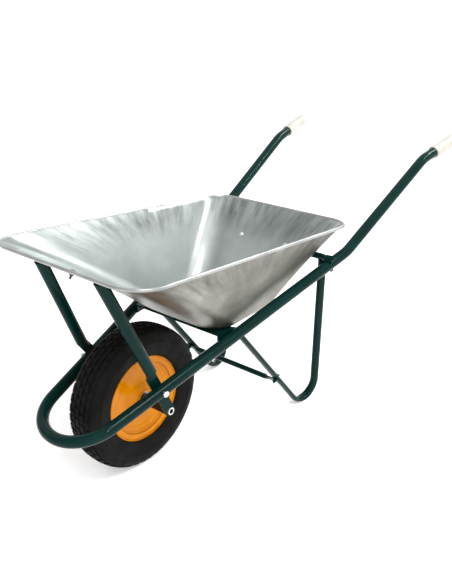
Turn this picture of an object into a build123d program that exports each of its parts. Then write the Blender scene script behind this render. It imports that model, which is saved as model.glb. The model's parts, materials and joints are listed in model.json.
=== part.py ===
"""A single-wheel builder's wheelbarrow, in millimetres.

+X points forward, towards the wheel, +Y to the left of the person pushing, +Z up. The ground is
z = 0, and the origin lies on it under the middle of the whole barrow. Sizes along X are given
ahead of the wheel's axle, and the helper at() moves them into this frame.
"""

import os
from math import cos, hypot, radians, sin, tan

from build123d import *

os.makedirs("parts", exist_ok=True)

# ---------------------------------------------------------------- driving dimensions
AXLE_X = 450.95  # the axle ahead of the origin
WHEEL_R = 200.0  # tyre radius, so also the axle's height
TYRE_HALF_WIDTH = 49.4
RIM_LIP_R = 120.0

TUBE_R = 16.0  # main frame tube, 32 mm outside
TUBE_WALL = 2.0
RAIL_RISE = 0.3141  # rise of a rail for each millimetre rearward
RAIL_SPLAY = 0.1719  # spread of a rail for each millimetre rearward
RAIL_Y0 = 145.7  # a rail's centre line at the axle
RAIL_Z0 = 291.2
LOOP_R = 115.6  # bend of the loop in front of the wheel
LOOP_FRONT = 273.0  # centre line of the loop ahead of the axle
HANDLE_BEND = (-1013.1, 281.6, 694.8)  # where the handles turn level
HANDLE_END = (-1183.0, 300.0, 733.0)
RAIL_BEND_X = -626.9  # where the rails turn up into the handles
GRIP_LENGTH = 122.0
GRIP_R = 18.6

FLOOR_Z = 364.6  # underside of the tray's floor
FLOOR_FRONT, FLOOR_REAR = -162.0, -422.0
FLOOR_HALF = 156.0
RIM_FRONT, RIM_REAR = 216.4, -647.2
RIM_FRONT_Z, RIM_REAR_Z = 634.3, 568.3
RIM_FRONT_HALF, RIM_REAR_HALF = 270.7, 254.8
FLOOR_CORNERS = (80.0, 66.0)  # corner radii, front and rear
RIM_CORNERS = (82.0, 70.0)
SHEET = 1.0  # tray sheet
BEAD_R = 4.5  # rolled edge of the tray
WIRE_R = 2.9  # wire inside the rolled edge
WALL_INSET = 3.5  # the wall meets the bead this far inside its centre
FLOOR_FOLD = 26.0
FRONT_FLARE, REAR_FLARE = 9.0, 4.0  # how far the end walls curve inwards

STAY_R = 15.0  # front stay tube
STAY_WALL = 1.6
STAY_LEAN = 0.428  # forward lean of the stay for each millimetre up
STAY_TOE = 0.09  # inward lean
STAY_FOOT = (45.0, 135.0, 300.0)  # a point of the stay's centre line
PRESSED = 5.6  # thickness of a tube pressed flat
PRESSED_WIDTH = 31.0
TONGUE_WIDTH = 30.0  # its flat end, about the axle

LEG_R = 12.5
LEG_WALL = 1.8
ARM_THICK, ARM_WIDE = 16.0, 29.0  # the leg's forward arm, pressed oval
FOOT_Y = 179.5
LEG_TOP = (-560.5, 213.4, 474.0)
LEG_MIDDLE = (-584.6, 182.5, 48.7)
ARM_POINT = (-438.8, 174.0, 93.5)
ARM_TOP = (-225.4, 160.0, 359.0)

AXLE_R = 10.0
BEARING = dict(bore=10.0, outer=21.0, width=12.0, ball=3.175, pitch=15.5, balls=9)
BEARING_Y = 36.0  # outer face of each bearing, from the wheel's middle
GAP = 0.05  # fit between a shaft and what runs on it

M6, M8, M10 = 3.0, 4.0, 5.0  # bolt radii
HOLE_CLEAR = 0.2


def at(x, y, z):
    """A point x ahead of the axle, y to the left and z above the ground."""
    return Vector(AXLE_X + x, y, z)


def rail(x, side=1):
    """The centre line of a rail, x ahead of the axle."""
    return at(x, side * (RAIL_Y0 - RAIL_SPLAY * x), RAIL_Z0 - RAIL_RISE * x)


def save(builder, name):
    """Label a finished piece and write it."""
    builder.part.label = name
    export_step(builder.part, f"parts/{name}.step")


def flip(point, side):
    """The same point on the left (1) or the right (-1)."""
    return Vector(point.X, side * point.Y, point.Z)


SIDES = {"left": 1, "right": -1}
RAIL_DIR = (rail(1) - rail(0)).normalized()
RAIL_UP = Vector(RAIL_RISE, 0, 1).normalized()  # across a rail's slope, in the long plane
RAIL_DIR_FLAT = Vector(1, 0, -RAIL_RISE).normalized()  # down a rail's slope, in the long plane


# ---------------------------------------------------------------- hardware helpers
def hex_head(plane, across, height):
    """A hexagonal head that stands on the plane, with its corners taken off."""
    with BuildSketch(plane) as head:
        RegularPolygon(across / 2, 6, major_radius=False)
    extrude(head.sketch, amount=height)


def shank(plane, radius, length):
    """A round shank that runs back from the plane."""
    with BuildSketch(plane) as section:
        Circle(radius)
    extrude(section.sketch, amount=-length)


def domed_head(plane, radius, height):
    """A carriage bolt's dome that stands on the plane."""
    sphere_r = (radius**2 + height**2) / (2 * height)
    profile = Plane(plane.origin, x_dir=plane.x_dir, z_dir=plane.y_dir)
    with BuildSketch(profile) as dome:
        with BuildLine():
            Line((0, 0), (radius, 0))
            top = (0, -height)
            bulge = (sphere_r * sin(radians(18)), sphere_r - height - sphere_r * cos(radians(18)))
            ThreePointArc((radius, 0), bulge, top)
            Line(top, (0, 0))
        make_face()
    revolve(dome.sketch, axis=Axis(plane.origin, plane.z_dir))


def nut(plane, across, height, bore):
    """A hexagonal nut that hangs from the plane, away from its normal."""
    with BuildSketch(plane) as ring:
        RegularPolygon(across / 2, 6, major_radius=False)
        Circle(bore, mode=Mode.SUBTRACT)
    extrude(ring.sketch, amount=-height)


# ---------------------------------------------------------------- frame tube
def handle_path():
    """The centre line of the one long tube: handle, rail, loop, rail, handle."""
    bend = rail(RAIL_BEND_X)
    front = rail(LOOP_FRONT)
    left = [at(*HANDLE_END), at(*HANDLE_BEND), bend, front]
    right = [flip(p, -1) for p in reversed(left)]
    with BuildLine() as path:
        FilletPolyline(*left, *right, radius=[110, 150, LOOP_R, LOOP_R, 150, 110])
    return path.wires()[0]


FRAME_PATH = handle_path()
HANDLE_DIR = (at(*HANDLE_END) - at(*HANDLE_BEND)).normalized()

# The stay's pressed foot lies flat against the inside of the rail, across both directions.
STAY_DIR = Vector(STAY_LEAN, -STAY_TOE, 1).normalized()
FOOT_NORMAL = RAIL_DIR.cross(STAY_DIR).normalized() * -1  # points outwards on the left
if FOOT_NORMAL.Y < 0:
    FOOT_NORMAL = FOOT_NORMAL * -1
STAY_BOLT_X = 37.0
FOOT_ORIGIN = rail(STAY_BOLT_X) - FOOT_NORMAL * (TUBE_R + GAP + PRESSED / 2)


def foot_plane(side):
    """Middle plane of the pressed foot, x along the stay, z outwards."""
    normal = flip(FOOT_NORMAL, side)
    return Plane(flip(FOOT_ORIGIN, side), x_dir=flip(STAY_DIR, side), z_dir=normal)



def build_frame_tube(bridge_x):
    """One tube bent from grip to grip around the wheel, with its bolt holes."""
    start = Plane(FRAME_PATH @ 0, z_dir=FRAME_PATH % 0)
    with BuildPart() as tube:
        with BuildSketch(start):
            Circle(TUBE_R)
            Circle(TUBE_R - TUBE_WALL, mode=Mode.SUBTRACT)
        sweep(path=FRAME_PATH)
        for side in SIDES.values():
            with BuildSketch(foot_plane(side)):
                Circle(M10 + HOLE_CLEAR)
            extrude(amount=3 * TUBE_R, mode=Mode.SUBTRACT)
            with BuildSketch(Plane(rail(bridge_x, side), z_dir=RAIL_UP)):
                Circle(M8 + HOLE_CLEAR)
            extrude(amount=1.6 * TUBE_R, both=True, mode=Mode.SUBTRACT)
    save(tube, "frame_tube")


# ---------------------------------------------------------------- tray
def wall_profile(end):
    """Outer wall at the middle of the front or rear end: floor, middle and rim points (x, z)."""
    floor_x, rim_x, rim_z, flare = {
        "front": (FLOOR_FRONT, RIM_FRONT - WALL_INSET, RIM_FRONT_Z, FRONT_FLARE),
        "rear": (FLOOR_REAR, RIM_REAR + WALL_INSET, RIM_REAR_Z, REAR_FLARE),
    }[end]
    run, rise = rim_x - floor_x, rim_z - FLOOR_Z
    length = hypot(run, rise)
    inward = (-rise / length, run / length) if end == "front" else (rise / length, -run / length)
    middle = (floor_x + run / 2 + inward[0] * flare, FLOOR_Z + rise / 2 + inward[1] * flare)
    return (floor_x, FLOOR_Z), middle, (rim_x, rim_z)


def wall_point(end, share):
    """Point and outward normal of the end wall, share of the way from the floor to the rim."""
    f, m, r = wall_profile(end)
    point = [
        a * (1 - share) * (1 - 2 * share) + 4 * b * share * (1 - share) + c * share * (2 * share - 1)
        for a, b, c in zip(f, m, r)
    ]
    slope = [a * (4 * share - 3) + b * (4 - 8 * share) + c * (4 * share - 1) for a, b, c in zip(f, m, r)]
    size = hypot(*slope)
    sign = 1 if end == "front" else -1
    normal = Vector(sign * slope[1] / size, 0, -sign * slope[0] / size)
    return at(point[0], 0, point[1]), normal


def loop_plane(front, rear):
    """Plane through the front and rear points (x, z) of a loop round the tray."""
    run = Vector(front[0] - rear[0], 0, front[1] - rear[1]).normalized()
    return Plane(at(front[0], 0, front[1]), x_dir=run, z_dir=run.cross(Vector(0, 1, 0)))


def tray_loop(front, rear, halves, corners, inset=0.0):
    """A rounded loop that narrows from the front half-width to the rear one."""
    long = hypot(front[0] - rear[0], front[1] - rear[1])
    with BuildSketch(loop_plane(front, rear)) as loop:
        with BuildLine():
            FilletPolyline(
                (-inset, -halves[0] + inset),
                (-inset, halves[0] - inset),
                (-long + inset, halves[1] - inset),
                (-long + inset, -halves[1] + inset),
                close=True,
                radius=[corners[0] - inset, corners[0] - inset, corners[1] - inset, corners[1] - inset],
            )
        make_face()
    return loop.sketch


def tray_shape(thick):
    """The tray's outer shape, or the hollow inside it when it is given the sheet's thickness."""
    front, rear = wall_profile("front"), wall_profile("rear")
    side_rim = (RIM_FRONT_HALF - WALL_INSET, RIM_REAR_HALF - WALL_INSET)
    side_mid = tuple((FLOOR_HALF + h) / 2 - 3.0 for h in side_rim)
    mid_corners = tuple((a + b) / 2 for a, b in zip(FLOOR_CORNERS, RIM_CORNERS))
    inset = thick * 1.35
    with BuildPart() as shape:
        lifted = [(p[0], p[1] + thick) for p in (front[0], rear[0])]
        add(tray_loop(*lifted, (FLOOR_HALF, FLOOR_HALF), FLOOR_CORNERS, inset * 0.75))
        add(tray_loop(front[1], rear[1], side_mid, mid_corners, inset))
        add(tray_loop(front[2], rear[2], side_rim, RIM_CORNERS, inset))
        loft()
        fillet(shape.faces().sort_by(Axis.Z)[0].edges(), radius=FLOOR_FOLD - thick)
    return shape.part


def rim_path():
    """Centre line of the rolled edge."""
    front, rear = (RIM_FRONT, RIM_FRONT_Z), (RIM_REAR, RIM_REAR_Z)
    loop = tray_loop(front, rear, (RIM_FRONT_HALF, RIM_REAR_HALF), RIM_CORNERS)
    return loop.wires()[0]


def bead(radius):
    """A round bar that follows the rim."""
    path = rim_path()
    with BuildPart() as bar:
        with BuildSketch(Plane(path @ 0, z_dir=path % 0)):
            Circle(radius)
        sweep(path=path)
    return bar.part


FRONT_BOLT_SHARE, REAR_BOLT_SHARE = 0.885, 0.60  # how far up the end walls
REAR_BOLT_Y = 84.0


def build_tray():
    """A pressed sheet pan with its edge rolled over a wire."""
    outer, hollow = tray_shape(0.0), tray_shape(SHEET)
    with BuildPart() as tray:
        add(outer)
        add(hollow, mode=Mode.SUBTRACT)
        add(bead(BEAD_R))
        add(bead(WIRE_R + GAP), mode=Mode.SUBTRACT)
        for plane in tray_bolt_planes():
            with BuildSketch(plane):
                Circle(M6 + HOLE_CLEAR)
            extrude(amount=12, both=True, mode=Mode.SUBTRACT)
    save(tray, "tray")
    with BuildPart() as wire:
        add(bead(WIRE_R))
    save(wire, "rim_wire")


def end_bolt_plane(end, share, y):
    """Seat of a bolt head inside an end wall, z into the tray."""
    point, normal = wall_point(end, share)
    origin = point - normal * (SHEET * 1.15) + Vector(0, y, 0)
    return Plane(origin, x_dir=(0, 1, 0), z_dir=normal * -1)


def tray_bolt_planes():
    """Every bolt through the tray."""
    planes = [end_bolt_plane("front", FRONT_BOLT_SHARE, 0)]
    for side in SIDES.values():
        planes.append(end_bolt_plane("rear", REAR_BOLT_SHARE, side * REAR_BOLT_Y))
    return planes


# ---------------------------------------------------------------- front stay
def stay_point(z):
    """The stay's centre line at a height."""
    x, y, z0 = STAY_FOOT
    return at(x + STAY_LEAN * (z - z0), y - STAY_TOE * (z - z0), z)


STRAP_GAP = 0.4  # between the strap and the tray's wall
STRAP_HALF = 104.0  # from the middle to the centre of the strap's round end
STRAP_WIDTH = 40.0
STAY_LOW, STAY_HIGH = 340.0, 566.0  # the stay is a round tube between these heights
FLAT_TOP = 42.0  # the flat foot reaches this far above its bolt


def strap_plane():
    """Middle plane of the stay's pressed top, under the tray's front lip."""
    point, normal = wall_point("front", FRONT_BOLT_SHARE)
    return Plane(point + normal * (STRAP_GAP + PRESSED / 2), x_dir=(0, 1, 0), z_dir=normal)


def build_front_stay():
    """One tube, pressed flat under the lip and at both feet, where the axle goes through."""
    low = Plane(stay_point(STAY_LOW), x_dir=(1, 0, -STAY_LEAN), z_dir=STAY_DIR)
    high = Plane(stay_point(STAY_HIGH), x_dir=(1, 0, -STAY_LEAN), z_dir=STAY_DIR)
    foot = foot_plane(1)
    neck = Plane(foot.origin + foot.x_dir * FLAT_TOP, x_dir=foot.y_dir, z_dir=foot.x_dir)
    axle_spot = foot.to_local_coords(axle_on_foot(1))
    strap = strap_plane()
    with BuildPart() as stay:
        with BuildSketch(low):
            Circle(STAY_R)
            Circle(STAY_R - STAY_WALL, mode=Mode.SUBTRACT)
        extrude(amount=(high.origin - low.origin).length)
        # the foot: tube to flat, then a flat tongue with a round end about the axle
        with BuildSketch(low):
            Circle(STAY_R)
        with BuildSketch(neck):
            SlotOverall(PRESSED_WIDTH, PRESSED - 0.02)
        loft()
        with BuildSketch(foot):
            with Locations(((FLAT_TOP + axle_spot.X) / 2, axle_spot.Y / 2)):
                Rectangle(FLAT_TOP - axle_spot.X, TONGUE_WIDTH)
            with Locations((axle_spot.X, axle_spot.Y)):
                Circle(TONGUE_WIDTH / 2)
        extrude(amount=PRESSED / 2, both=True)
        # the top: closed, and run straight up into the strap
        with BuildSketch(high):
            Circle(STAY_R)
        extrude(amount=(strap.origin - high.origin).dot(strap.z_dir) / STAY_DIR.dot(strap.z_dir) + 4)
        mirror(about=Plane.XZ)
        with BuildSketch(strap):
            SlotOverall(2 * STRAP_HALF + STRAP_WIDTH, STRAP_WIDTH)
        extrude(amount=PRESSED / 2, both=True)
        # nothing of the stay stands up into the tray's wall
        with BuildSketch(strap.offset(-PRESSED / 2)):
            Rectangle(4 * STRAP_HALF, 5 * STRAP_WIDTH)
        extrude(amount=-3 * STRAP_WIDTH, mode=Mode.SUBTRACT)
        # holes: axle, rail bolts, lip bolt
        with BuildSketch(Plane(at(0, 0, WHEEL_R), x_dir=(1, 0, 0), z_dir=(0, -1, 0))):
            Circle(AXLE_R + GAP)
        extrude(amount=200, both=True, mode=Mode.SUBTRACT)
        for side in SIDES.values():
            with BuildSketch(foot_plane(side)):
                Circle(M10 + HOLE_CLEAR)
            extrude(amount=PRESSED, both=True, mode=Mode.SUBTRACT)
        with BuildSketch(strap):
            Circle(M6 + HOLE_CLEAR)
        extrude(amount=PRESSED, both=True, mode=Mode.SUBTRACT)
    save(stay, "front_stay")


def axle_on_foot(side):
    """Where the axle's centre line crosses the middle plane of a pressed foot."""
    origin, normal = flip(FOOT_ORIGIN, side), flip(FOOT_NORMAL, side)
    start = at(0, 0, WHEEL_R)
    y = (origin - start).dot(normal) / normal.Y
    return at(0, y, WHEEL_R)


# ---------------------------------------------------------------- cross pieces
BRIDGE_R = 9.5
BRIDGE_WALL = 1.6
BRIDGE_PLATE = 4.0
BRIDGE_PLATE_WIDE = 26.0
BRIDGE_HALF = 214.0  # half the length of its round part
BRIDGE_FLAT_FROM = 229.0  # the pressed ends are flat from here outwards
WALL_SEAT = 0.3  # free space between the tray and what it is bolted to


def bridge_centre():
    """Centre of the rear bridge tube, just behind the tray's rear wall."""
    point, normal = wall_point("rear", REAR_BOLT_SHARE)
    return point + normal * (BRIDGE_R + WALL_SEAT)


BRIDGE_X = bridge_centre().X - AXLE_X


def bridge_plate_plane(side):
    """Middle plane of the bridge's pressed end, on top of a rail."""
    return Plane(
        rail(BRIDGE_X, side) + RAIL_UP * (TUBE_R + GAP + BRIDGE_PLATE / 2),
        x_dir=(0, 1, 0),
        z_dir=RAIL_UP,
    )


def build_rear_bridge():
    """A cross tube behind the tray, its ends pressed flat and bolted on top of the rails."""
    centre = bridge_centre()
    with BuildPart() as bridge:
        with BuildSketch(Plane(centre, x_dir=(1, 0, 0), z_dir=(0, -1, 0))):
            Circle(BRIDGE_R)
            Circle(BRIDGE_R - BRIDGE_WALL, mode=Mode.SUBTRACT)
        extrude(amount=BRIDGE_HALF, both=True)
        for side in SIDES.values():
            plate = bridge_plate_plane(side)
            outer_end = abs(plate.origin.Y) + 15
            tube_end = Plane(centre + Vector(0, side * BRIDGE_HALF, 0), x_dir=(1, 0, 0), z_dir=(0, side, 0))
            edge = plate.origin + Vector(0, side * BRIDGE_FLAT_FROM - plate.origin.Y, 0)
            plate_end = Plane(edge, x_dir=RAIL_DIR_FLAT, z_dir=(0, side, 0))
            with BuildSketch(tube_end):
                Circle(BRIDGE_R)
            with BuildSketch(plate_end):
                Rectangle(BRIDGE_PLATE_WIDE, BRIDGE_PLATE - 0.02)
            loft()
            with BuildSketch(plate):
                with Locations((side * (BRIDGE_FLAT_FROM + outer_end) / 2 - plate.origin.Y, 0)):
                    Rectangle(outer_end - BRIDGE_FLAT_FROM, BRIDGE_PLATE_WIDE)
            extrude(amount=BRIDGE_PLATE / 2, both=True)
            with BuildSketch(plate):
                Circle(M8 + HOLE_CLEAR)
            extrude(amount=BRIDGE_PLATE, both=True, mode=Mode.SUBTRACT)
            rear_bolt = end_bolt_plane("rear", REAR_BOLT_SHARE, side * REAR_BOLT_Y)
            with BuildSketch(rear_bolt):
                Circle(M6 + HOLE_CLEAR)
            extrude(amount=-4 * BRIDGE_R, mode=Mode.SUBTRACT)
    save(bridge, "rear_bridge")


CROSS_FRONT, CROSS_REAR = -158.0, -221.0
CROSS_TOP = FLOOR_Z - WALL_SEAT
CROSS_THICK = 5.0
TAB_DROP = 26.0


def cross_tab_plane(side):
    """Inner face of a rail beside the lower cross bar, z outwards, x along the rail in plan."""
    along = Vector(1, -side * RAIL_SPLAY, 0).normalized()
    outward = Vector(RAIL_SPLAY, side, 0).normalized()
    centre = rail((CROSS_FRONT + CROSS_REAR) / 2, side)
    origin = Vector(centre.X, centre.Y, CROSS_TOP) - outward * (TUBE_R + GAP)
    return Plane(origin, x_dir=along, z_dir=outward)


def build_lower_cross_bar():
    """A flat bar under the tray's floor, with its ends bent down beside the rails."""
    width = CROSS_FRONT - CROSS_REAR
    with BuildPart() as bar:
        corners = []
        for side in SIDES.values():
            plane = cross_tab_plane(side)
            for turn in (side, -side):
                corner = plane.origin + plane.x_dir * (turn * width / 2)
                corners.append((corner.X, corner.Y))
        with BuildSketch(Plane.XY.offset(CROSS_TOP)):
            with BuildLine():
                Polyline(*corners, close=True)
            make_face()
        extrude(amount=-CROSS_THICK)
        for side in SIDES.values():
            plane = cross_tab_plane(side)
            down = -1 if plane.y_dir.Z > 0 else 1
            with BuildSketch(plane):
                with Locations((5, down * TAB_DROP / 2)):
                    Rectangle(width - 10, TAB_DROP)
            extrude(amount=-CROSS_THICK)
    save(bar, "lower_cross_bar")


# ---------------------------------------------------------------- legs and brace
def leg_points(side):
    """Top of the upright, virtual corner at the foot, and top of the forward arm."""
    top, middle = at(*LEG_TOP), at(*LEG_MIDDLE)
    arm_low, arm_top = at(*ARM_POINT), at(*ARM_TOP)
    up_x = (top.X - middle.X) / (top.Z - middle.Z)
    arm_x = (arm_top.X - arm_low.X) / (arm_top.Z - arm_low.Z)
    z = (arm_low.X - arm_x * arm_low.Z - middle.X + up_x * middle.Z) / (up_x - arm_x)
    corner = Vector(middle.X + up_x * (z - middle.Z), FOOT_Y, z)
    return [flip(p, side) for p in (top, corner, arm_top)]


def arm_dir():
    """Direction of a forward arm, seen from the side."""
    low, top = at(*ARM_POINT), at(*ARM_TOP)
    return Vector(top.X - low.X, 0, top.Z - low.Z).normalized()


FOOT_BEND = 52.4  # radius of the bend that stands on the ground
ROUND_UNTIL, OVAL_FROM = 0.30, 0.42  # shares of the bend where the tube changes its section
ARM_SPARE = 22.0  # the arm is cut back from this much over its length


def leg_bend(side):
    """Centre line of the bend at the foot, from the upright to the arm."""
    top, corner, arm_top = leg_points(side)
    up = (top - corner).normalized()
    forward = (arm_top - corner).normalized()
    reach = FOOT_BEND / tan(radians(up.get_angle(forward) / 2))
    return Edge.make_tangent_arc(corner + up * reach, up * -1, corner + forward * reach)


def build_leg(name, side):
    """An upright from the bridge to the foot, bent forwards into an arm pressed oval."""
    top, corner, arm_top = leg_points(side)
    bend = leg_bend(side)
    across = (top - corner).cross(arm_top - corner).normalized()
    round_end = Plane(bend @ ROUND_UNTIL, x_dir=across, z_dir=bend % ROUND_UNTIL)
    oval_start = Plane(bend @ OVAL_FROM, x_dir=across, z_dir=bend % OVAL_FROM)
    arm_end = arm_top + (arm_top - corner).normalized() * ARM_SPARE
    with BuildPart() as leg:
        with BuildSketch(Plane(top, z_dir=corner - top)):
            Circle(LEG_R)
            Circle(LEG_R - LEG_WALL, mode=Mode.SUBTRACT)
        sweep(path=Wire([Edge.make_line(top, bend @ 0), bend.trim(0, ROUND_UNTIL)]))
        for thin, mode in ((0, Mode.ADD), (LEG_WALL, Mode.SUBTRACT)):
            with BuildSketch(round_end):
                Circle(LEG_R - thin)
            with BuildSketch(oval_start):
                Ellipse(ARM_WIDE / 2 - thin, ARM_THICK / 2 - thin)
            loft(mode=mode)
        with BuildSketch(oval_start):
            Ellipse(ARM_WIDE / 2, ARM_THICK / 2)
            Ellipse(ARM_WIDE / 2 - LEG_WALL, ARM_THICK / 2 - LEG_WALL, mode=Mode.SUBTRACT)
        sweep(path=Wire([bend.trim(OVAL_FROM, 1), Edge.make_line(bend @ 1, arm_end)]))
        # coped round the bridge tube and the rail, and cut level under the cross bar
        with BuildSketch(Plane(bridge_centre(), x_dir=(1, 0, 0), z_dir=(0, -1, 0))):
            Circle(BRIDGE_R + GAP)
        extrude(amount=300, both=True, mode=Mode.SUBTRACT)
        with BuildSketch(Plane(bridge_centre())):
            Rectangle(8 * BRIDGE_R, 600)
        extrude(amount=30, mode=Mode.SUBTRACT)
        with BuildSketch(Plane(rail(-700, side), z_dir=flip(RAIL_DIR, side))):
            Circle(TUBE_R + GAP)
        extrude(amount=700, mode=Mode.SUBTRACT)
        with BuildSketch(Plane.XY.offset(CROSS_TOP - CROSS_THICK - GAP)):
            with Locations((AXLE_X + ARM_TOP[0], side * ARM_TOP[1])):
                Rectangle(120, 90)
        extrude(amount=60, mode=Mode.SUBTRACT)
        # bolt hole of the brace
        with BuildSketch(brace_plane(side)):
            Circle(M6 + HOLE_CLEAR)
        extrude(amount=2 * ARM_THICK, both=True, mode=Mode.SUBTRACT)
    save(leg, name)


BRACE_R = 8.0
BRACE_WALL = 1.5
BRACE_PLATE = 4.0  # thickness of its pressed ends
BRACE_PLATE_WIDE = 24.0
ARM_CLEAR = 0.35  # the oval arm is turned a little, so what lies on it stands off this far
BRACE_AT = 0.158  # share of the way up the arm


def brace_plane(side):
    """Plane of the brace's pressed end under a forward arm, z up through the arm."""
    low, top = at(*ARM_POINT), at(*ARM_TOP)
    spot = low + (top - low) * BRACE_AT
    normal = Vector(-arm_dir().Z, 0, arm_dir().X)
    origin = Vector(spot.X, 0, spot.Z) - normal * (ARM_THICK / 2 + ARM_CLEAR + BRACE_PLATE / 2)
    return Plane(Vector(origin.X, side * spot.Y, origin.Z), x_dir=(0, 1, 0), z_dir=normal)


def build_brace():
    """A cross tube between the legs, its ends pressed flat and bolted under the arms."""
    left = brace_plane(1)
    tube_half = abs(left.origin.Y) - 36
    with BuildPart() as brace:
        mid = Vector(left.origin.X, 0, left.origin.Z)
        with BuildSketch(Plane(mid, x_dir=(1, 0, 0), z_dir=(0, -1, 0))):
            Circle(BRACE_R)
            Circle(BRACE_R - BRACE_WALL, mode=Mode.SUBTRACT)
        extrude(amount=tube_half, both=True)
        for side in SIDES.values():
            plate = brace_plane(side)
            outer, inner = abs(plate.origin.Y) + 13, abs(plate.origin.Y) - 18
            tube_end = Plane(mid + Vector(0, side * tube_half, 0), x_dir=arm_dir(), z_dir=(0, side, 0))
            flat_start = Plane(mid + Vector(0, side * inner, 0), x_dir=arm_dir(), z_dir=(0, side, 0))
            with BuildSketch(tube_end):
                Circle(BRACE_R)
            with BuildSketch(flat_start):
                Rectangle(BRACE_PLATE_WIDE, BRACE_PLATE - 0.02)
            loft()
            with BuildSketch(plate):
                with Locations((side * (outer + inner) / 2 - plate.origin.Y, 0)):
                    Rectangle(outer - inner, BRACE_PLATE_WIDE)
            extrude(amount=BRACE_PLATE / 2, both=True)
            with BuildSketch(plate):
                Circle(M6 + HOLE_CLEAR)
            extrude(amount=BRACE_PLATE, both=True, mode=Mode.SUBTRACT)
    save(brace, "leg_brace")


# ---------------------------------------------------------------- grips
def build_grip(name, side):
    """A moulded sleeve with a closed, rounded end and a raised collar."""
    tube_end = flip(at(*HANDLE_END), side)
    back = flip(HANDLE_DIR, side)
    tip = tube_end + back * 5
    profile = Plane(tip, x_dir=back * -1, z_dir=back.cross(Vector(0, 0, 1)).normalized())
    up = 1 if profile.y_dir.Z > 0 else -1
    bore = TUBE_R + GAP
    with BuildPart() as grip:
        with BuildSketch(profile):
            with BuildLine():
                Polyline(
                    (0, 0),
                    (0, up * (GRIP_R - 6)),
                    (1.8, up * (GRIP_R - 1.8)),
                    (6, up * GRIP_R),
                    (GRIP_LENGTH - 12, up * (GRIP_R - 0.6)),
                    (GRIP_LENGTH - 7, up * (GRIP_R + 1.2)),
                    (GRIP_LENGTH - 1.5, up * (GRIP_R + 1.2)),
                    (GRIP_LENGTH, up * (GRIP_R - 0.3)),
                    (GRIP_LENGTH, up * bore),
                    (5, up * bore),
                    (5, 0),
                    close=True,
                )
            make_face()
        revolve(axis=Axis(tip, back))
    save(grip, name)


# ---------------------------------------------------------------- wheel
WHEEL = Plane(at(0, 0, WHEEL_R), x_dir=(0, 1, 0), z_dir=(1, 0, 0))  # x across, y outwards
WHEEL_AXIS = Axis(at(0, 0, WHEEL_R), (0, 1, 0))


def turned(points):
    """Turn one closed outline, given as (across, radius), about the axle."""
    with BuildSketch(WHEEL) as outline:
        with BuildLine():
            Polyline(*points, close=True)
        make_face()
    revolve(outline.sketch, axis=WHEEL_AXIS)


def build_tyre():
    """A pneumatic tyre: rounded tread, bulged walls and thick beads on the rim's seats."""
    with BuildPart() as tyre:
        with BuildSketch(WHEEL):
            with BuildLine():
                Line((0, 190.5), (0, WHEEL_R))
                Spline((0, WHEEL_R), (22, 198.6), (38, 192.6), (46.5, 180), (TYRE_HALF_WIDTH, 160),
                       (46, 138), (38.5, 122.5), tangents=((1, 0), (-0.6, -0.8)))
                Polyline((38.5, 122.5), (36.4, 121.1), (32.6, 120.5), (30.7, 117.8), (30.7, 105), (17.4, 105),
                         (21, 112))
                Spline((21, 112), (37, 132), (42.3, 158), (38, 178), (22, 189), (0, 190.5),
                       tangents=((0.7, 0.7), (-1, 0)))
            make_face()
        revolve(axis=WHEEL_AXIS)
        mirror(about=Plane.XZ)
    save(tyre, "tyre")


def build_inner_tube():
    """The air tube that fills the tyre, with a 2 mm wall."""
    with BuildPart() as tube:
        for inset, mode in ((0.6, Mode.ADD), (2.6, Mode.SUBTRACT)):
            with BuildSketch(WHEEL):
                with BuildLine():
                    Spline((0, 190.2 - inset), (22, 188.6 - inset), (37.6 - inset, 178 - inset),
                           (41.8 - inset, 158), (36.4 - inset, 132), (20.6 - inset, 113 + inset),
                           (0, 104.2 + inset), tangents=((1, 0), (-1, 0)))
                    Line((0, 104.2 + inset), (0, 190.2 - inset))
                make_face()
            revolve(axis=WHEEL_AXIS, mode=mode)
        mirror(about=Plane.XZ)
        with BuildSketch(valve_plane(-6)):
            Circle(STEM_BASE_R + HOLE_CLEAR)
        extrude(amount=26, mode=Mode.SUBTRACT)
    save(tube, "inner_tube")


# One side of the rim's hoop as (across, radius): the tyre's side from the well out to the lip,
# then the wheel's side back to the well.
HOOP_OUTSIDE = [(9, 96.5), (15, 100), (17, 104), (31, 104.6), (31, 117), (33, 119.5), (36, RIM_LIP_R)]
HOOP_INSIDE = [(37, 117.5), (33.2, 116), (33.2, 102.4), (18.2, 101.8), (16.6, 98.6), (9.6, 94.4)]

# One pressed disc, about 2 mm thick: its outer face from the hoop in to the hub, then its back.
DISC_FACE = [
    (30.5, 101.6),
    (30.5, 99.8),
    (27.6, 97.2),
    (25.2, 92.5),
    (24.2, 86.5),
    (21.6, 81.0),
    (20.4, 74.0),
    (20.2, 60.0),
    (22.2, 49.0),
    (27.0, 40.0),
    (32.4, 31.0),
    (34.6, 25.05),
]
DISC_BACK = [
    (32.4, 25.05),
    (30.4, 30.0),
    (25.0, 39.0),
    (20.2, 48.4),
    (18.2, 59.6),
    (18.4, 74.4),
    (19.4, 81.4),
    (22.2, 87.0),
    (23.2, 92.9),
    (25.6, 98.0),
    (25.0, 99.6),
    (20.3, 99.6),
    (20.3, 101.6),
]
HUB_R = 25.0
HUB_SHOULDER_R = 18.5  # the bearings' outer rings stop against this


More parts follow.
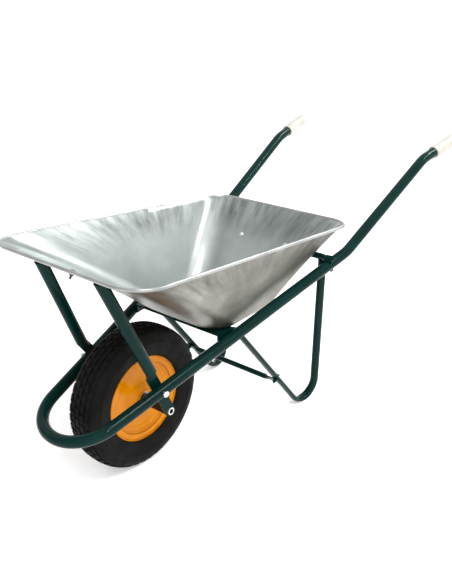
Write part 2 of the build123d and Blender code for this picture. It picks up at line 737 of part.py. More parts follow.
def build_wheel_metal():
    """The wheel's pressed steel: a rolled hoop, a disc on each side and the hub between them."""
    outside = [(-y, r) for y, r in reversed(HOOP_OUTSIDE)] + HOOP_OUTSIDE
    inside = HOOP_INSIDE + [(-y, r) for y, r in reversed(HOOP_INSIDE)]
    with BuildPart() as hoop:
        turned(outside + inside)
        with BuildSketch(valve_plane(-6)):
            Circle(STEM_BASE_R + HOLE_CLEAR)
        extrude(amount=26, mode=Mode.SUBTRACT)
    save(hoop, "rim_hoop")
    for name, side in SIDES.items():
        with BuildPart() as disc:
            turned([(side * y, r) for y, r in DISC_FACE + DISC_BACK])
            with BuildSketch(valve_plane(10)):
                Circle(STEM_BASE_R + 1)
            extrude(amount=30, mode=Mode.SUBTRACT)
        save(disc, f"{name}_wheel_disc")
    end = BEARING_Y + 1
    seat = BEARING["outer"] + GAP
    stop = BEARING_Y - BEARING["width"]
    with BuildPart() as hub:
        turned([
            (-end, seat),
            (-end, HUB_R),
            (end, HUB_R),
            (end, seat),
            (stop, seat),
            (stop, HUB_SHOULDER_R),
            (-stop, HUB_SHOULDER_R),
            (-stop, seat),
        ])
    save(hub, "hub")


VALVE_ANGLE = 213.0  # seen from the left, counter-clockwise from straight back
VALVE_TILT = 42.0  # degrees from the radius, towards the left
VALVE_BASE = (4.0, 101.0)  # across and radius of the point where the stem leaves the tube
STEM_R, STEM_BASE_R = 3.0, 4.3


def valve_plane(along):
    """Plane across the valve's stem, a distance along it from its base, z out of the rim."""
    outward = Vector(-cos(radians(VALVE_ANGLE)), 0, sin(radians(VALVE_ANGLE)))
    direction = outward * -cos(radians(VALVE_TILT)) + Vector(0, sin(radians(VALVE_TILT)), 0)
    base = at(0, VALVE_BASE[0], WHEEL_R) + outward * VALVE_BASE[1]
    return Plane(base + direction * along, z_dir=direction)


def build_valve():
    """The stem that leaves the tube through the rim's well, and its screw cap."""
    with BuildPart() as stem:
        with BuildSketch(valve_plane(-5)):
            Circle(STEM_BASE_R)
        extrude(amount=21)
        with BuildSketch(valve_plane(16)):
            Circle(STEM_R)
        extrude(amount=17)
    save(stem, "valve_stem")
    with BuildPart() as cap:
        with BuildSketch(valve_plane(22)):
            Circle(STEM_BASE_R)
        extrude(amount=13)
        far_end = cap.edges().filter_by(GeomType.CIRCLE).sort_by(Axis.Y)[-1]
        chamfer(far_end, 1.0)
        with BuildSketch(valve_plane(22)):
            Circle(STEM_R + GAP)
        extrude(amount=11.2, mode=Mode.SUBTRACT)
    save(cap, "valve_cap")


def build_bearing(name, side):
    """A deep-groove ball bearing: outer ring, inner ring, balls and cage."""
    b = BEARING
    middle = side * (BEARING_Y - b["width"] / 2)
    half = b["width"] / 2
    shoulder = 1.6
    race = b["ball"] + 0.03
    for ring, low, high in (
        ("inner_ring", b["bore"] + GAP, b["pitch"] - shoulder),
        ("outer_ring", b["pitch"] + shoulder, b["outer"]),
    ):
        with BuildPart() as part:
            turned([(middle - half, low), (middle + half, low), (middle + half, high), (middle - half, high)])
            with BuildSketch(WHEEL):
                with Locations((middle, b["pitch"])):
                    Circle(race)
            revolve(axis=WHEEL_AXIS, mode=Mode.SUBTRACT)
        save(part, f"{name}_bearing_{ring}")
    wheel_face = Plane(at(0, middle, WHEEL_R), x_dir=(1, 0, 0), z_dir=(0, -1, 0))
    with BuildPart() as balls:
        with Locations(wheel_face):
            with PolarLocations(b["pitch"], b["balls"]):
                Sphere(b["ball"])
    save(balls, f"{name}_bearing_balls")
    with BuildPart() as cage:
        with BuildSketch(wheel_face):
            Circle(b["pitch"] + 1.2)
            Circle(b["pitch"] - 1.2, mode=Mode.SUBTRACT)
        extrude(amount=4.3, both=True)
        with Locations(wheel_face):
            with PolarLocations(b["pitch"], b["balls"]):
                Cylinder(race + 0.12, 3 * b["ball"], rotation=(0, 90, 0), mode=Mode.SUBTRACT)
    save(cage, f"{name}_bearing_cage")


AXLE_OUT = 6.0  # the axle stands out this far past the middle of each foot
AXLE_WALL = 3.0
SPACER_R = 14.0


def build_axle():
    """A hollow axle through both feet of the stay, with its spacers."""
    end = axle_on_foot(1).Y + AXLE_OUT
    wall_in = AXLE_R - AXLE_WALL
    with BuildPart() as axle:
        turned([(-end, wall_in), (end, wall_in), (end, AXLE_R), (-end, AXLE_R)])
    save(axle, "axle")
    bore = AXLE_R + GAP
    inner = BEARING_Y - BEARING["width"]
    with BuildPart() as between:
        turned([(-inner, bore), (inner, bore), (inner, bore + 2.5), (-inner, bore + 2.5)])
    save(between, "bearing_spacer")
    foot_inner = axle_on_foot(1).Y - 8.5
    for name, side in SIDES.items():
        start, shoulder, stop = side * BEARING_Y, side * (BEARING_Y + 6), side * foot_inner
        outside = [(start, SPACER_R - 0.6), (shoulder, SPACER_R), (stop, SPACER_R)]
        with BuildPart() as spacer:
            turned([(start, bore), *outside, (stop, bore)])
        save(spacer, f"{name}_axle_spacer")


# ---------------------------------------------------------------- fasteners
def build_fasteners():
    """Bolts and nuts, grouped where they are alike."""
    outer = TUBE_R + PRESSED / 2 + TUBE_R + GAP
    with BuildPart() as bolts:
        for side in SIDES.values():
            seat = foot_plane(side).offset(outer)
            hex_head(seat, 15, 6.0)
            shank(seat, M10, outer + PRESSED / 2 + 12)
    save(bolts, "stay_bolts")
    with BuildPart() as nuts:
        for side in SIDES.values():
            nut(foot_plane(side).offset(-PRESSED / 2), 17, 8.4, M10)
    save(nuts, "stay_nuts")

    with BuildPart() as bolts:
        for side in SIDES.values():
            seat = bridge_plate_plane(side).offset(BRIDGE_PLATE / 2)
            hex_head(seat, 13, 3.6)
            shank(seat, M8, 2 * TUBE_R + BRIDGE_PLATE + 10)
    save(bolts, "bridge_bolts")
    with BuildPart() as nuts:
        for side in SIDES.values():
            under = bridge_plate_plane(side).offset(-BRIDGE_PLATE / 2 - 2 * TUBE_R - 2 * GAP)
            nut(under, 13, 6.5, M8)
    save(nuts, "bridge_nuts")

    front = end_bolt_plane("front", FRONT_BOLT_SHARE, 0)
    front_stack = SHEET * 1.15 + STRAP_GAP + PRESSED
    rear = [end_bolt_plane("rear", REAR_BOLT_SHARE, s * REAR_BOLT_Y) for s in SIDES.values()]
    rear_stack = SHEET * 1.15 + WALL_SEAT + 2 * BRIDGE_R
    groups = {
        "tray_front": ([front], front_stack, 13.0),
        "tray_rear": (rear, rear_stack, 9.0),
    }
    for name, (planes, stack, spare) in groups.items():
        plural = "s" if len(planes) > 1 else ""
        with BuildPart() as bolts:
            for plane in planes:
                domed_head(plane.offset(0.15), 7.5, 3.2)
                shank(plane.offset(0.15), M6, stack + spare)
        save(bolts, f"{name}_bolt{plural}")
        with BuildPart() as nuts:
            for plane in planes:
                nut(plane.offset(-stack - GAP), 10, 5.0, M6)
        save(nuts, f"{name}_nut{plural}")

    grip = BRACE_PLATE + ARM_THICK + 2 * ARM_CLEAR
    with BuildPart() as bolts:
        for side in SIDES.values():
            seat = brace_plane(side).offset(BRACE_PLATE / 2 + ARM_THICK + 2 * ARM_CLEAR)
            domed_head(seat, 7.0, 2.8)
            shank(seat, M6, grip + 8)
    save(bolts, "brace_bolts")
    with BuildPart() as nuts:
        for side in SIDES.values():
            nut(brace_plane(side).offset(-BRACE_PLATE / 2), 10, 5.0, M6)
    save(nuts, "brace_nuts")


# ---------------------------------------------------------------- everything
build_frame_tube(BRIDGE_X)
build_tray()
build_front_stay()
build_rear_bridge()
build_lower_cross_bar()
for side_name, side_sign in SIDES.items():
    build_leg(f"{side_name}_leg", side_sign)
    build_grip(f"{side_name}_grip", side_sign)
    build_bearing(side_name, side_sign)
build_brace()
build_tyre()
build_wheel_metal()
build_inner_tube()
build_valve()
build_axle()
build_fasteners()
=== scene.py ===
# %% [markdown]
# # A wheelbarrow, finished in Blender
#
# The barrow comes as an engineering model: every tube, bolt and bearing is already the right shape
# and in the right place. This notebook gives it its surfaces. The pressed tray, the tyre, the
# wheel's discs and the grips are modelled again, because their looks live in soft curves
# and small relief. The bent tubes and the hardware keep their shape and get paint, zinc and wear.

# %% Load the engineering model
import json
from math import cos, hypot, pi, radians, sin, tan

import bmesh
import bpy
from mathutils import Matrix, Vector


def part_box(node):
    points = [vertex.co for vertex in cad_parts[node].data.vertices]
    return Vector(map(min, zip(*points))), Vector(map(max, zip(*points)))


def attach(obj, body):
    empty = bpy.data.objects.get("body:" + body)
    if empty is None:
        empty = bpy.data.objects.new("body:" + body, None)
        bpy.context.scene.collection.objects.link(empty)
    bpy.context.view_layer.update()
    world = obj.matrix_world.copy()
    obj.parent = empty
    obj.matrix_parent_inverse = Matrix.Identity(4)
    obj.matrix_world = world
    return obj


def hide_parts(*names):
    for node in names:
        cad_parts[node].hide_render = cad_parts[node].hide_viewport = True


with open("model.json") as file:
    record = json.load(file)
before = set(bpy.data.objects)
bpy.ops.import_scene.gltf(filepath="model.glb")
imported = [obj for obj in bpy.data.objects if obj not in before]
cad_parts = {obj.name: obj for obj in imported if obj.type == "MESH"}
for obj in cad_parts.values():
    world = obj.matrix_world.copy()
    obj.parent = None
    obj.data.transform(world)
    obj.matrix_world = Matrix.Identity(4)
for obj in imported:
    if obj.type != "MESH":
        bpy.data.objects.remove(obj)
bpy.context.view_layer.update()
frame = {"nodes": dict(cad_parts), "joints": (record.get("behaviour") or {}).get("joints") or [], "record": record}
AXLE = Vector(next(j for j in frame["joints"] if j["name"] == "wheel_spin")["pos_m"])
MM = 0.001

# %% [markdown]
# ## The camera
# A camera is a place, a direction and a lens. It stands ahead of the wheel and to the left, a
# little above the rim of the tray, and looks down at the barrow, so the inside of the tray, the
# wheel and one whole side are seen at once. Its three axes are worked out as vectors and set as one
# matrix, which is exact and leaves no rotation order to think about.

# %% Set the camera
HEADING, DIP, ROLL = radians(-139.56), radians(23.26), radians(-0.47)
ahead = Vector((cos(HEADING) * cos(DIP), sin(HEADING) * cos(DIP), -sin(DIP)))
level = ahead.cross(Vector((0, 0, 1))).normalized()
upright = level.cross(ahead)
right = level * cos(ROLL) + upright * sin(ROLL)
up = upright * cos(ROLL) - level * sin(ROLL)
lens = bpy.data.cameras.new("studio_camera")
lens.lens = 45.1
lens.sensor_width = 36.0
camera = bpy.data.objects.new("studio_camera", lens)
bpy.context.scene.collection.objects.link(camera)
spot = Vector((AXLE.x + 1.13527, 1.28983, 1.22764))
turn = Matrix((right, up, -ahead)).transposed().to_4x4()
camera.matrix_world = Matrix.Translation(spot) @ turn
bpy.context.scene.camera = camera
print("camera at", tuple(round(v, 3) for v in spot))

# %% [markdown]
# ## Floor and light
# Paint and metal are seen by what they reflect. A white floor and a bright room give the even look
# of a studio, with one side of the room left darker so that the tray's walls differ in tone. A large
# soft lamp stands high on the left, a second one stands where the hollow far
# corner of the tray mirrors it into the camera, a long narrow one gives the thin bright line along
# each tube, a very small one puts a spark on glossy paint, and a weak one fills the far side.

# %% Lay the floor
bpy.ops.object.select_all(action="DESELECT")
bpy.ops.mesh.primitive_plane_add(size=300.0, location=(0, 0, 0))
floor = bpy.context.object
floor.name = "studio_floor"
floor_paint = bpy.data.materials.new("studio_floor")
floor_paint.use_nodes = True
floor_shader = floor_paint.node_tree.nodes["Principled BSDF"]
floor_shader.inputs["Base Color"].default_value = (0.92, 0.92, 0.92, 1)
floor_shader.inputs["Roughness"].default_value = 0.8
floor_shader.inputs["Emission Color"].default_value = (1, 1, 1, 1)
floor_shader.inputs["Emission Strength"].default_value = 0.3
floor.data.materials.append(floor_paint)
print("floor laid")

# %% Light the room
room = bpy.data.worlds.new("studio_room")
room.use_nodes = True
sky = room.node_tree.nodes["Background"]
view = room.node_tree.nodes.new("ShaderNodeTexCoord")
towards = room.node_tree.nodes.new("ShaderNodeVectorMath")
towards.operation = "DOT_PRODUCT"
towards.inputs[1].default_value = (0.49, -0.62, 0.61)
shade = room.node_tree.nodes.new("ShaderNodeMapRange")
shade.interpolation_type = "SMOOTHSTEP"
for label, value in {"From Min": 0.6, "From Max": 0.97, "To Min": 1.18, "To Max": 0.5}.items():
    shade.inputs[label].default_value = value
room.node_tree.links.new(view.outputs["Generated"], towards.inputs[0])
room.node_tree.links.new(towards.outputs["Value"], shade.inputs["Value"])
room.node_tree.links.new(shade.outputs["Result"], sky.inputs["Strength"])
sky.inputs["Color"].default_value = (1.0, 1.0, 1.0, 1)
bpy.context.scene.world = room
bpy.context.scene.view_settings.view_transform = "Standard"


def soft_lamp(name, place, target, size, watts):
    """Hang a rectangular lamp at a place, turned towards a target."""
    data = bpy.data.lights.new(name, "AREA")
    data.shape = "RECTANGLE"
    data.size, data.size_y = size
    data.energy = watts
    lamp = bpy.data.objects.new(name, data)
    lamp.location = place
    lamp.rotation_euler = (Vector(target) - Vector(place)).to_track_quat("-Z", "Y").to_euler()
    bpy.context.scene.collection.objects.link(lamp)
    return lamp


soft_lamp("key_lamp", (0.6, 3.0, 3.4), (0, 0, 0.3), (1.6, 1.2), 13)
soft_lamp("corner_lamp", (0.86, 1.47, 2.76), (-0.15, -0.22, 0.5), (0.9, 0.7), 34)
soft_lamp("strip_lamp", (-2.6, 1.4, 3.2), (-0.2, 0, 0.4), (2.8, 0.06), 110)
soft_lamp("spark_lamp", (1.5, 2.4, 2.1), (0.45, 0, 0.25), (0.14, 0.14), 12)
soft_lamp("fill_lamp", (1.6, -2.8, 2.6), (0, 0, 0.3), (2.0, 2.0), 8)

# %% [markdown]
# ## Effects that every finish shares
# No real surface is one colour. Four small effects do the work here, each a node group built once:
# clouds of tone, a fine grain for bumps, streaks drawn along a sheet while it was pressed, and dust
# that settles on what faces up. A group gives out a mask or a height, and each finish decides what
# to do with it.


# %% Helpers for node trees
def put(tree, kind, inputs=None, **settings):
    """Add a node, set its options, and set or link its inputs."""
    node = tree.nodes.new(kind)
    for key, value in settings.items():
        setattr(node, key, value)
    for key, value in (inputs or {}).items():
        if isinstance(value, bpy.types.NodeSocket):
            tree.links.new(value, node.inputs[key])
        else:
            node.inputs[key].default_value = value
    return node


def new_effect(name, numbers, output):
    """Start a node group with number inputs and one output; return its tree and both ends."""
    tree = bpy.data.node_groups.new(name, "ShaderNodeTree")
    for label, value in numbers.items():
        socket = tree.interface.new_socket(label, in_out="INPUT", socket_type="NodeSocketFloat")
        socket.default_value = value
    tree.interface.new_socket(output, in_out="OUTPUT", socket_type="NodeSocketFloat")
    return tree, tree.nodes.new("NodeGroupInput"), tree.nodes.new("NodeGroupOutput")


print("node helpers ready")

# %% Clouds of tone
clouds, start, end = new_effect("clouds", {"Scale": 8.0, "Low": 0.35, "High": 0.65}, "Mask")
where = put(clouds, "ShaderNodeTexCoord")
noise = put(clouds, "ShaderNodeTexNoise", {
    "Vector": where.outputs["Object"], "Scale": start.outputs["Scale"], "Detail": 6.0, "Roughness": 0.62})
spread = put(clouds, "ShaderNodeMapRange", {
    "Value": noise.outputs["Fac"], "From Min": start.outputs["Low"], "From Max": start.outputs["High"]})
clouds.links.new(spread.outputs["Result"], end.inputs["Mask"])
print("effect:", clouds.name)

# %% Fine grain
grain, start, end = new_effect("grain", {"Scale": 900.0}, "Height")
where = put(grain, "ShaderNodeTexCoord")
noise = put(grain, "ShaderNodeTexNoise", {
    "Vector": where.outputs["Object"], "Scale": start.outputs["Scale"], "Detail": 3.0})
grain.links.new(noise.outputs["Fac"], end.inputs["Height"])
print("effect:", grain.name)

# %% Streaks drawn along the sheet
streaks, start, end = new_effect(
    "streaks", {"Across": 60.0, "Along": 2.5, "Low": 0.4, "High": 0.7}, "Mask")
where = put(streaks, "ShaderNodeTexCoord")
stretch = put(streaks, "ShaderNodeCombineXYZ", {"X": start.outputs["Across"], "Y": start.outputs["Along"]})
place = put(streaks, "ShaderNodeVectorMath", {0: where.outputs["UV"], 1: stretch.outputs["Vector"]},
            operation="MULTIPLY")
noise = put(streaks, "ShaderNodeTexNoise", {
    "Vector": place.outputs["Vector"], "Scale": 1.0, "Detail": 5.0, "Roughness": 0.6})
spread = put(streaks, "ShaderNodeMapRange", {
    "Value": noise.outputs["Fac"], "From Min": start.outputs["Low"], "From Max": start.outputs["High"]})
streaks.links.new(spread.outputs["Result"], end.inputs["Mask"])
print("effect:", streaks.name)

# %% Dust on what faces up
dust, start, end = new_effect("dust", {"Amount": 0.3, "Scale": 30.0}, "Mask")
facing = put(dust, "ShaderNodeNewGeometry")
axes = put(dust, "ShaderNodeSeparateXYZ", {"Vector": facing.outputs["Normal"]})
upward = put(dust, "ShaderNodeMapRange", {"Value": axes.outputs["Z"], "From Min": 0.2, "From Max": 1.0})
where = put(dust, "ShaderNodeTexCoord")
noise = put(dust, "ShaderNodeTexNoise", {
    "Vector": where.outputs["Object"], "Scale": start.outputs["Scale"], "Detail": 5.0})
patchy = put(dust, "ShaderNodeMath", {0: upward.outputs["Result"], 1: noise.outputs["Fac"]},
             operation="MULTIPLY")
strength = put(dust, "ShaderNodeMath", {0: patchy.outputs["Value"], 1: start.outputs["Amount"]},
               operation="MULTIPLY")
dust.links.new(strength.outputs["Value"], end.inputs["Mask"])
print("effect:", dust.name)

# %% [markdown]
# ## The finishes
# A finish here is always the same recipe with other amounts: two tones mixed by the clouds, a
# roughness that drifts between two values, a trace of dust, and a fine bump. A helper builds it, so
# each finish is one short call and the differences between them are easy to read. Uniform numbers,
# such as the gloss of paint, are set on the shader's own sockets.


# %% A recipe for a finish
RUB_SCALE = 3.1  # rubbed patches are this much smaller than the clouds of tone


def finish(name, tones, rough, metal=0.0, clouds_scale=9.0, grain_scale=900.0, bump=0.0002,
           dusty=0.15, dust_tone=(0.42, 0.40, 0.36, 1), gloss=0.5):
    """A material with drifting tone and roughness, a little dust and a fine bump."""
    material = bpy.data.materials.new(name)
    material.use_nodes = True
    tree = material.node_tree
    shader = tree.nodes["Principled BSDF"]
    shader.inputs["Metallic"].default_value = metal
    shader.inputs["Specular IOR Level"].default_value = gloss
    tone = put(tree, "ShaderNodeGroup", node_tree=clouds)
    tone.inputs["Scale"].default_value = clouds_scale
    mixed = put(tree, "ShaderNodeMix", {"Factor": tone.outputs["Mask"]}, data_type="RGBA")
    mixed.inputs["A"].default_value, mixed.inputs["B"].default_value = tones
    settled = put(tree, "ShaderNodeGroup", node_tree=dust)
    settled.inputs["Amount"].default_value = dusty
    dusted = put(tree, "ShaderNodeMix", {"Factor": settled.outputs["Mask"]}, data_type="RGBA")
    dusted.inputs["B"].default_value = dust_tone
    tree.links.new(mixed.outputs["Result"], dusted.inputs["A"])
    tree.links.new(dusted.outputs["Result"], shader.inputs["Base Color"])
    rubbed = put(tree, "ShaderNodeGroup", node_tree=clouds)
    rubbed.inputs["Scale"].default_value = clouds_scale * RUB_SCALE
    drift = put(tree, "ShaderNodeMapRange", {
        "Value": rubbed.outputs["Mask"], "To Min": rough[0], "To Max": rough[1]})
    tree.links.new(drift.outputs["Result"], shader.inputs["Roughness"])
    fine = put(tree, "ShaderNodeGroup", node_tree=grain)
    fine.inputs["Scale"].default_value = grain_scale
    relief = put(tree, "ShaderNodeBump", {"Height": fine.outputs["Height"], "Distance": bump})
    tree.links.new(relief.outputs["Normal"], shader.inputs["Normal"])
    return material


print("finish recipe ready")

# %% Mix the finishes
GREEN = finish("green_paint", ((0.0002, 0.013, 0.0112, 1), (0.0004, 0.021, 0.018, 1)), (0.08, 0.13),
               grain_scale=260, bump=0.00005, dusty=0.008, gloss=0.10)
YELLOW = finish("yellow_paint", ((0.43, 0.135, 0.0, 1), (0.62, 0.21, 0.0005, 1)), (0.08, 0.16),
                grain_scale=220, bump=0.00006, dusty=0.01, gloss=0.13)
RUBBER = finish("tyre_rubber", ((0.0022, 0.0024, 0.0023, 1), (0.0055, 0.0055, 0.005, 1)), (0.5, 0.7),
                grain_scale=700, bump=0.0003, dusty=0.02, gloss=0.08)
SOFT_RUBBER = finish("black_rubber", ((0.008, 0.008, 0.008, 1), (0.014, 0.014, 0.014, 1)), (0.6, 0.8),
                     gloss=0.2)
IVORY = finish("ivory_plastic", ((0.39, 0.378, 0.33, 1), (0.49, 0.478, 0.425, 1)), (0.38, 0.5),
               clouds_scale=22, grain_scale=500, bump=0.00025, dusty=0.08, gloss=0.3)
BLACK_PLASTIC = finish("black_plastic", ((0.004, 0.004, 0.0045, 1), (0.009, 0.009, 0.01, 1)), (0.3, 0.45),
                       gloss=0.2)
BEARING_STEEL = finish("bearing_steel", ((0.16, 0.15, 0.14, 1), (0.26, 0.25, 0.23, 1)), (0.3, 0.42),
                       metal=1.0, grain_scale=1500, bump=0.00005)
ZINC = finish("zinc", ((0.58, 0.58, 0.56, 1), (0.78, 0.78, 0.74, 1)), (0.22, 0.38), metal=1.0,
              clouds_scale=60, grain_scale=1200, bump=0.0001)
GALVANISED = finish("galvanised", ((0.44, 0.45, 0.43, 1), (0.6, 0.61, 0.58, 1)), (0.32, 0.45), metal=0.9,
                    clouds_scale=25)
print("finishes:", [m.name for m in bpy.data.materials])

# %% Give every engineering piece its finish
BY_SLOT = {
    "green_paint": GREEN,
    "galvanised": GALVANISED,
    "yellow_paint": YELLOW,
    "tyre_rubber": RUBBER,
    "black_rubber": SOFT_RUBBER,
    "ivory_plastic": IVORY,
    "black_plastic": BLACK_PLASTIC,
    "bearing_steel": BEARING_STEEL,
    "zinc": ZINC,
}
for piece in frame["record"]["subparts"]:
    solid = frame["nodes"][piece["node"]]
    for material_slot in solid.material_slots:
        material_slot.material = BY_SLOT[piece["material_slot"]]
# The bolts and nuts that hold the tray are given a dark steel in place of zinc.
DARK_STEEL = finish("dark_steel", ((0.06, 0.055, 0.05, 1), (0.12, 0.11, 0.10, 1)), (0.35, 0.5), metal=0.8,
                     clouds_scale=120)
for name in ("tray_front_bolt", "tray_front_nut", "tray_rear_nuts", "bridge_nuts"):
    for material_slot in frame["nodes"][name].material_slots:
        material_slot.material = DARK_STEEL

# %% [markdown]
# ## Working in edit mode
# Two moves make nearly everything below. An edge loop is extruded and its new copy is put in place,
# which raises a sheet ring by ring, as a press draws it. Or a closed outline is spun about an axle,
# as a lathe turns it. Each works on a primitive circle that was added with the right number of
# points, so a smooth shape always starts from the same plain ring.


# %% Extrude rings and spin outlines
def ring_of(count, name):
    """Add a circle of so many points and go into edit mode on it."""
    bpy.ops.object.select_all(action="DESELECT")
    bpy.ops.mesh.primitive_circle_add(vertices=count, radius=0.1, fill_type="NOTHING", location=(0, 0, 0),
                                    calc_uvs=False)
    piece = bpy.context.object
    piece.name = name
    bpy.ops.object.mode_set(mode="EDIT")
    bpy.ops.mesh.select_mode(type="VERT")
    bpy.ops.mesh.select_all(action="SELECT")
    return piece


def put_points(piece, first, points):
    """Move the edit mesh's points, from number first on, to their places."""
    mesh = bmesh.from_edit_mesh(piece.data)
    mesh.verts.ensure_lookup_table()
    for offset, point in enumerate(points):
        mesh.verts[first + offset].co = point
    bmesh.update_edit_mesh(piece.data)


def spun(name, outline, steps, centre, axis):
    """Turn a closed outline of points once about an axis, and close the seam."""
    piece = ring_of(len(outline), name)
    put_points(piece, 0, outline)
    bpy.ops.mesh.select_all(action="SELECT")
    bpy.ops.mesh.spin(steps=steps, angle=2 * pi, center=centre, axis=axis)
    bpy.ops.mesh.select_all(action="SELECT")
    bpy.ops.mesh.remove_doubles(threshold=0.000002)
    bpy.ops.mesh.delete_loose(use_verts=True, use_edges=True, use_faces=False)
    bpy.ops.mesh.select_all(action="SELECT")
    bpy.ops.mesh.normals_make_consistent(inside=False)
    bpy.ops.object.mode_set(mode="OBJECT")
    return piece


def soften(points, cuts):
    """A closed outline rounded into a smooth curve through its own points."""
    smooth = []
    count = len(points)
    for i in range(count):
        a, b, c, d = (Vector(points[(i + k) % count]) for k in (-1, 0, 1, 2))
        for k in range(cuts):
            t = k / cuts
            smooth.append(0.5 * (2 * b + (c - a) * t + (2 * a - 5 * b + 4 * c - d) * t * t
                                 + (3 * b - a - 3 * c + d) * t ** 3))
    return smooth


print("edit-mode helpers ready")

# %% [markdown]
# ## The tray
# The tray is one sheet of galvanised steel, drawn in a press. Its floor is flat, a generous fold
# leads into walls that lean out, and the edge is rolled over a wire. Boxes and bevels would give
# hard corners, so the sheet is raised as rings: each ring is a rounded loop that is a little wider
# than the one below. The loops come from the engineering sizes: floor, half height and rim.

# %% The tray's driving sizes
FLOOR_Z, SHEET, BEAD_R, FOLD = 364.6, 1.0, 4.5, 26.0
FLOOR_ENDS, RIM_ENDS, RIM_HEIGHTS = (-162.0, -422.0), (216.4, -647.2), (634.3, 568.3)
RIM_HALVES, FLOOR_HALF = (270.7, 254.8), 156.0
FLOOR_CORNERS, RIM_CORNERS = (80.0, 66.0), (82.0, 70.0)
WALL_INSET, FLARES = 3.5, (9.0, 4.0)
CORNER_CUTS, END_CUTS, SIDE_CUTS = 12, 14, 30  # points along each part of a loop
FOLD_CUTS, WALL_CUTS = 6, 18  # rings up the fold and up the wall
ROLL_END, ROLL_STEP = 310, 31  # degrees that the edge is rolled over, and between its rings
print("tray rim", RIM_ENDS[0] - RIM_ENDS[1], "mm long")


# %% One rounded loop
def rounded_loop(front, rear, halves, corners, inset=0.0, lift=0.0):
    """Points of a rounded loop, in order, through front and rear points given as (x, z)."""
    long = hypot(front[0] - rear[0], front[1] - rear[1])
    run = Vector((front[0] - rear[0], 0, front[1] - rear[1])) / long
    normal = run.cross(Vector((0, 1, 0)))
    flat = [
        Vector((-inset, -halves[0] + inset)),
        Vector((-inset, halves[0] - inset)),
        Vector((-long + inset, halves[1] - inset)),
        Vector((-long + inset, -halves[1] + inset)),
    ]
    radii = [corners[0] - inset, corners[0] - inset, corners[1] - inset, corners[1] - inset]
    arcs = []
    for i, corner in enumerate(flat):
        back = (flat[i - 1] - corner).normalized()
        on = (flat[(i + 1) % 4] - corner).normalized()
        half = back.angle(on) / 2
        reach = radii[i] / tan(half)
        centre = corner + (back + on).normalized() * radii[i] / sin(half)
        first, last = corner + back * reach - centre, corner + on * reach - centre
        sweep = first.angle(last)
        arc = []
        for k in range(CORNER_CUTS + 1):
            t = k / CORNER_CUTS
            arc.append(centre + (first * sin((1 - t) * sweep) + last * sin(t * sweep)) / sin(sweep))
        arcs.append(arc)
    loop = []
    for i, arc in enumerate(arcs):
        cuts = END_CUTS if i % 2 == 0 else SIDE_CUTS
        goal = arcs[(i + 1) % 4][0]
        loop += arc[:-1] + [arc[-1].lerp(goal, k / cuts) for k in range(cuts)]
    origin = Vector((AXLE.x / MM + front[0], 0, front[1])) + normal * lift
    return [origin + run * p.x + Vector((0, 1, 0)) * p.y for p in loop]


corner_count = len(rounded_loop((0, 0), (-500, 0), (200, 200), (50, 50)))
print("points in a loop:", corner_count)

# %% Floor, half-height and rim loops
INSET = SHEET * 1.35
rim_points = ((RIM_ENDS[0] - WALL_INSET, RIM_HEIGHTS[0]), (RIM_ENDS[1] + WALL_INSET, RIM_HEIGHTS[1]))
middles = []
for foot, top, flare, way in zip(FLOOR_ENDS, rim_points, FLARES, (-1, 1)):
    lean = Vector((top[0] - foot, top[1] - FLOOR_Z))
    inward = Vector((way * lean.y, -way * lean.x)).normalized() * flare
    middles.append((foot + lean.x / 2 + inward.x, FLOOR_Z + lean.y / 2 + inward.y))
wall_halves = tuple(h - WALL_INSET for h in RIM_HALVES)
floor_loop = rounded_loop((FLOOR_ENDS[0], FLOOR_Z + SHEET), (FLOOR_ENDS[1], FLOOR_Z + SHEET),
                          (FLOOR_HALF, FLOOR_HALF), FLOOR_CORNERS, INSET * 0.75)
half_loop = rounded_loop(middles[0], middles[1], tuple((FLOOR_HALF + h) / 2 - 3.0 for h in wall_halves),
                         tuple((a + b) / 2 for a, b in zip(FLOOR_CORNERS, RIM_CORNERS)), INSET)
top_loop = rounded_loop(rim_points[0], rim_points[1], wall_halves, RIM_CORNERS, INSET)
print("wall height", round(top_loop[0].z - floor_loop[0].z, 1), "mm at the front")


# %% The sheet's section at one place round the tray
def sheet_section(index):
    """Points up the sheet at one place of the loop: the fold, then the wall to just under the rim."""
    foot, half, top = floor_loop[index], half_loop[index], top_loop[index]
    before, after = floor_loop[index - 1], floor_loop[(index + 1) % corner_count]
    along = (after - before).normalized()
    outward = along.cross(Vector((0, 0, 1)))
    outward.z = 0
    outward.normalize()
    if outward.dot(top - foot) < 0:
        outward = -outward
    rise = (4 * half - 3 * foot - top).normalized()
    bend = outward.angle(rise)
    radius = FOLD - SHEET
    reach = radius * tan(bend / 2)
    centre = foot - outward * reach + Vector((0, 0, radius))
    fold_points = []
    for k in range(FOLD_CUTS + 1):
        angle = bend * k / FOLD_CUTS
        fold_points.append(centre + outward * radius * sin(angle) - Vector((0, 0, radius * cos(angle))))
    shift = foot + rise * reach - fold_points[-1]
    fold_points = [p + shift * (k / FOLD_CUTS) for k, p in enumerate(fold_points)]
    share = reach / (4 * half - 3 * foot - top).length
    wall = []
    for k in range(1, WALL_CUTS + 1):
        t = share + (1 - share) * k / WALL_CUTS
        wall.append(foot * (1 - t) * (1 - 2 * t) + 4 * half * t * (1 - t) + top * t * (2 * t - 1))
    return fold_points + wall


sections = [sheet_section(i) for i in range(corner_count)]
rings = [[section[k] for section in sections] for k in range(len(sections[0]))]
first_edge_ring = len(rings)
for degrees in range(0, ROLL_END + 1, ROLL_STEP):
    angle = radians(degrees)
    rings.append(rounded_loop((RIM_ENDS[0], RIM_HEIGHTS[0]), (RIM_ENDS[1], RIM_HEIGHTS[1]), RIM_HALVES,
                              RIM_CORNERS, BEAD_R * cos(angle), BEAD_R * sin(angle)))
print("rings up the sheet:", len(rings))

